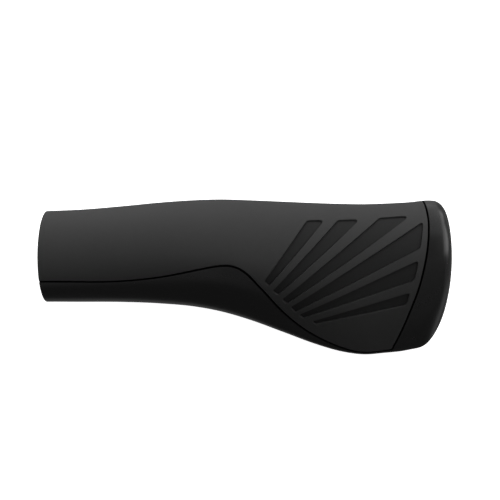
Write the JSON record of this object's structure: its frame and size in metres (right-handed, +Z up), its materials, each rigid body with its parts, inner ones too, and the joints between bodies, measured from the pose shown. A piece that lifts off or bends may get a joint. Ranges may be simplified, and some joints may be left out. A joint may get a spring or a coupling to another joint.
{
  "type": "handlebar grip",
  "caption": "Right-hand ergonomic handlebar grip: a rubber sleeve with a closed outer end and a palm-supporting wing, and a flush soft pad with grooves fanned over the wing.",
  "frame": {"origin": "middle of the bounding box's base, on the plane Z = 0 that the belly and the wing's edge rest on", "axes": "+X along the bar axis towards the closed outer end, -Y the side the wing reaches to, +Z up"},
  "size_m": [0.1384, 0.0502, 0.0382],
  "materials": {
    "firm_rubber": "satin, smooth moulded",
    "soft_rubber": "matte, smooth moulded"
  },
  "bodies": {
    "root": {"base_body": "firm_rubber", "palm_pad": "soft_rubber"}
  },
  "joints": []
}
